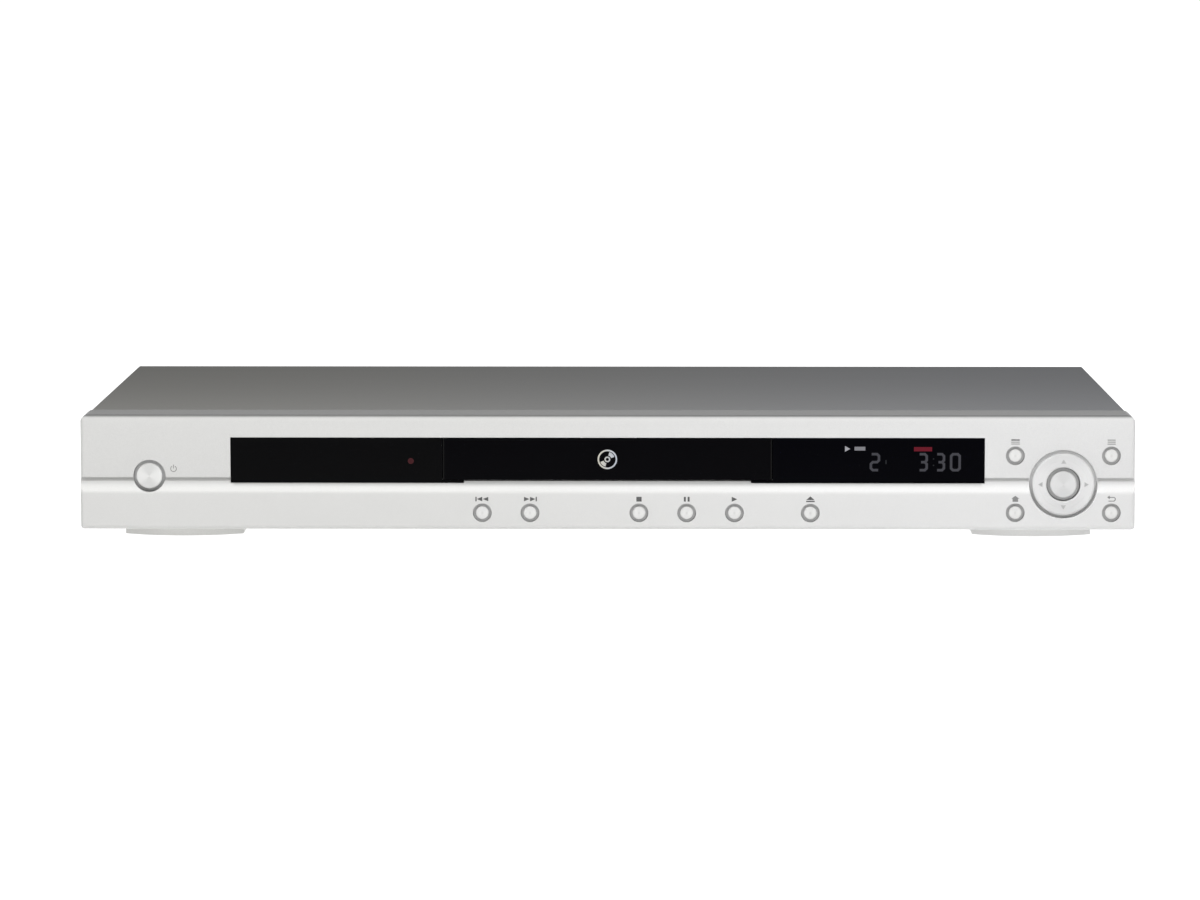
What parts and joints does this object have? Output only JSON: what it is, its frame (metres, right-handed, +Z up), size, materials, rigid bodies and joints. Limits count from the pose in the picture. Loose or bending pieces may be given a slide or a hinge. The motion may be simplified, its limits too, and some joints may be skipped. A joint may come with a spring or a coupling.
{
  "type": "disc player with tray",
  "caption": "Slim silver disc player of hi-fi width with a motorised disc tray, round front buttons, a four-way ring and a dark display window.",
  "frame": {"origin": "on the supporting surface, under the middle of the whole box", "axes": "front faces -Y, +X to the right seen from the front, +Z up"},
  "size_m": [0.42, 0.213, 0.0495],
  "materials": {
    "silver_plastic": "silver moulded plastic, satin",
    "button_plastic": "silver-white plastic, satin",
    "black_window": "glossy smoked black",
    "cover_paint": "dark grey textured paint on steel",
    "zinc_steel": "zinc-plated sheet steel",
    "rear_steel": "painted sheet steel",
    "foot_rubber": "matt rubber",
    "pad_grey": "light grey rubber",
    "black_screw": "black oxide steel",
    "bright_steel": "plain steel",
    "motor_can": "plated motor can",
    "board": "glass fibre board with solder mask",
    "paper_board": "phenolic paper board",
    "dark_plastic": "dark moulded plastic",
    "gear_plastic": "natural acetal",
    "head_metal": "die-cast metal",
    "lens_glass": "coated lens",
    "display_glass": "display tube",
    "led_red": "red lens",
    "ferrite": "ferrite core and wound bobbin",
    "can_sleeve": "sleeved aluminium can",
    "jack_plastic": "coloured jack inserts in a black housing",
    "nickel": "nickel plate",
    "cable_film": "white film cable"
  },
  "bodies": {
    "case": {"front_panel": "silver_plastic", "left_window": "black_window", "display_window": "black_window", "top_cover": "cover_paint", "bottom_chassis": "zinc_steel", "rear_panel": "rear_steel", "front_feet": "silver_plastic", "foot_pads": "pad_grey", "rear_feet": "foot_rubber", "cover_screws": "black_screw", "inner_screws": "bright_steel", "control_board": "board", "tact_switches": "dark_plastic", "display_module": "display_glass", "indicator_led": "led_red", "loader_frame": "dark_plastic", "loading_motor": "motor_can", "drive_belt": "foot_rubber", "clamp_bridge": "zinc_steel", "main_board": "board", "main_chips": "dark_plastic", "power_board": "paper_board", "power_transformer": "ferrite", "capacitors": "can_sleeve", "mains_inlet": "dark_plastic", "hdmi_socket": "bright_steel", "phono_jacks": "jack_plastic", "jack_shells": "nickel", "flat_cable": "cable_film"},
    "tray": {"disc_tray": "dark_plastic", "tray_door": "black_window"},
    "drive_gear": {"drive_gear": "gear_plastic"},
    "pulley_gear": {"pulley_gear": "gear_plastic"},
    "motor_pulley": {"motor_pulley": "gear_plastic"},
    "cam_slider": {"cam_slider": "gear_plastic"},
    "clamper": {"disc_clamper": "gear_plastic"},
    "traverse": {"traverse_frame": "dark_plastic", "mech_deck": "zinc_steel", "damper_bushes": "foot_rubber", "spindle_motor": "motor_can", "guide_rods": "bright_steel", "sled_motor": "motor_can"},
    "turntable": {"turntable": "dark_plastic"},
    "pickup": {"pickup_head": "head_metal", "objective_lens": "lens_glass"},
    "lead_screw": {"lead_screw": "bright_steel"},
    "standby_button": {"standby_button": "button_plastic"},
    "skip_back_button": {"skip_back_button": "button_plastic"},
    "skip_forward_button": {"skip_forward_button": "button_plastic"},
    "stop_button": {"stop_button": "button_plastic"},
    "pause_button": {"pause_button": "button_plastic"},
    "play_button": {"play_button": "button_plastic"},
    "open_close_button": {"open_close_button": "button_plastic"},
    "top_menu_button": {"top_menu_button": "button_plastic"},
    "menu_button": {"menu_button": "button_plastic"},
    "home_menu_button": {"home_menu_button": "button_plastic"},
    "return_button": {"return_button": "button_plastic"},
    "ring_gimbal": {"ring_gimbal": "gear_plastic"},
    "navigation_ring": {"navigation_ring": "button_plastic"},
    "enter_button": {"enter_button": "button_plastic"}
  },
  "joints": [
    {"name": "tray_slide", "type": "slide", "parent": "case", "child": "tray", "axis": [0, -1, 0], "range_m": [0, 0.136]},
    {"name": "drive_gear_spin", "type": "hinge", "parent": "case", "child": "drive_gear", "pos_m": [-0.04774, -0.0741, 0.0159], "axis": [0, 0, 1], "range_deg": [-1, 1083.25]},
    {"name": "pulley_gear_spin", "type": "hinge", "parent": "case", "child": "pulley_gear", "pos_m": [-0.03035, -0.07717, 0.0159], "axis": [0, 0, 1], "range_deg": [-2320.11, 1]},
    {"name": "motor_pulley_spin", "type": "hinge", "parent": "case", "child": "motor_pulley", "pos_m": [0, -0.0744, 0.0219], "axis": [0, 0, 1], "range_deg": [-6185.31, 1]},
    {"name": "traverse_tilt", "type": "hinge", "parent": "case", "child": "traverse", "pos_m": [0, 0.0549, 0.0186], "axis": [1, 0, 0], "range_deg": [0, 3.5]},
    {"name": "cam_slide", "type": "slide", "parent": "case", "child": "cam_slider", "axis": [1, 0, 0], "range_m": [-0.0002, 0.0202]},
    {"name": "turntable_spin", "type": "hinge", "parent": "traverse", "child": "turntable", "pos_m": [0, -0.0341, 0.0314], "axis": [0, 0, 1], "continuous": true},
    {"name": "clamper_spin", "type": "hinge", "parent": "case", "child": "clamper", "pos_m": [0, -0.0341, 0.0354], "axis": [0, 0, 1], "continuous": true},
    {"name": "sled_slide", "type": "slide", "parent": "traverse", "child": "pickup", "axis": [0, 1, 0], "range_m": [0, 0.034]},
    {"name": "lead_screw_spin", "type": "hinge", "parent": "traverse", "child": "lead_screw", "pos_m": [0.0315, 0.0039, 0.0194], "axis": [0, 1, 0], "range_deg": [-4081, 1]},
    {"name": "standby_press", "type": "slide", "parent": "case", "child": "standby_button", "axis": [0, 1, 0], "range_m": [0, 0.0005], "stiffness_N_per_m": 800, "springref_m": -0.0005},
    {"name": "skip_back_press", "type": "slide", "parent": "case", "child": "skip_back_button", "axis": [0, 1, 0], "range_m": [0, 0.0005], "stiffness_N_per_m": 800, "springref_m": -0.0005},
    {"name": "skip_forward_press", "type": "slide", "parent": "case", "child": "skip_forward_button", "axis": [0, 1, 0], "range_m": [0, 0.0005], "stiffness_N_per_m": 800, "springref_m": -0.0005},
    {"name": "stop_press", "type": "slide", "parent": "case", "child": "stop_button", "axis": [0, 1, 0], "range_m": [0, 0.0005], "stiffness_N_per_m": 800, "springref_m": -0.0005},
    {"name": "pause_press", "type": "slide", "parent": "case", "child": "pause_button", "axis": [0, 1, 0], "range_m": [0, 0.0005], "stiffness_N_per_m": 800, "springref_m": -0.0005},
    {"name": "play_press", "type": "slide", "parent": "case", "child": "play_button", "axis": [0, 1, 0], "range_m": [0, 0.0005], "stiffness_N_per_m": 800, "springref_m": -0.0005},
    {"name": "open_close_press", "type": "slide", "parent": "case", "child": "open_close_button", "axis": [0, 1, 0], "range_m": [0, 0.0005], "stiffness_N_per_m": 800, "springref_m": -0.0005},
    {"name": "top_menu_press", "type": "slide", "parent": "case", "child": "top_menu_button", "axis": [0, 1, 0], "range_m": [0, 0.0005], "stiffness_N_per_m": 800, "springref_m": -0.0005},
    {"name": "menu_press", "type": "slide", "parent": "case", "child": "menu_button", "axis": [0, 1, 0], "range_m": [0, 0.0005], "stiffness_N_per_m": 800, "springref_m": -0.0005},
    {"name": "home_menu_press", "type": "slide", "parent": "case", "child": "home_menu_button", "axis": [0, 1, 0], "range_m": [0, 0.0005], "stiffness_N_per_m": 800, "springref_m": -0.0005},
    {"name": "return_press", "type": "slide", "parent": "case", "child": "return_button", "axis": [0, 1, 0], "range_m": [0, 0.0005], "stiffness_N_per_m": 800, "springref_m": -0.0005},
    {"name": "enter_press", "type": "slide", "parent": "case", "child": "enter_button", "axis": [0, 1, 0], "range_m": [0, 0.0005], "stiffness_N_per_m": 800, "springref_m": -0.0005},
    {"name": "ring_up_down", "type": "hinge", "parent": "case", "child": "ring_gimbal", "pos_m": [0.1814, -0.0992, 0.0222], "axis": [1, 0, 0], "range_deg": [-1.5, 1.5], "stiffness_Nm_per_rad": 0.5},
    {"name": "ring_left_right", "type": "hinge", "parent": "ring_gimbal", "child": "navigation_ring", "pos_m": [0.1814, -0.0992, 0.0222], "axis": [0, 0, 1], "range_deg": [-1.5, 1.5], "stiffness_Nm_per_rad": 0.5}
  ],
  "couplings": [
    {"joint": "drive_gear_spin", "follows": "tray_slide", "rad_per_m": 138.89},
    {"joint": "pulley_gear_spin", "follows": "tray_slide", "rad_per_m": -297.62},
    {"joint": "motor_pulley_spin", "follows": "tray_slide", "rad_per_m": -793.65},
    {"joint": "cam_slide", "follows": "traverse_tilt", "m_per_rad": 0.3274},
    {"joint": "clamper_spin", "follows": "turntable_spin", "ratio": 1},
    {"joint": "lead_screw_spin", "follows": "sled_slide", "rad_per_m": -2094.4}
  ]
}
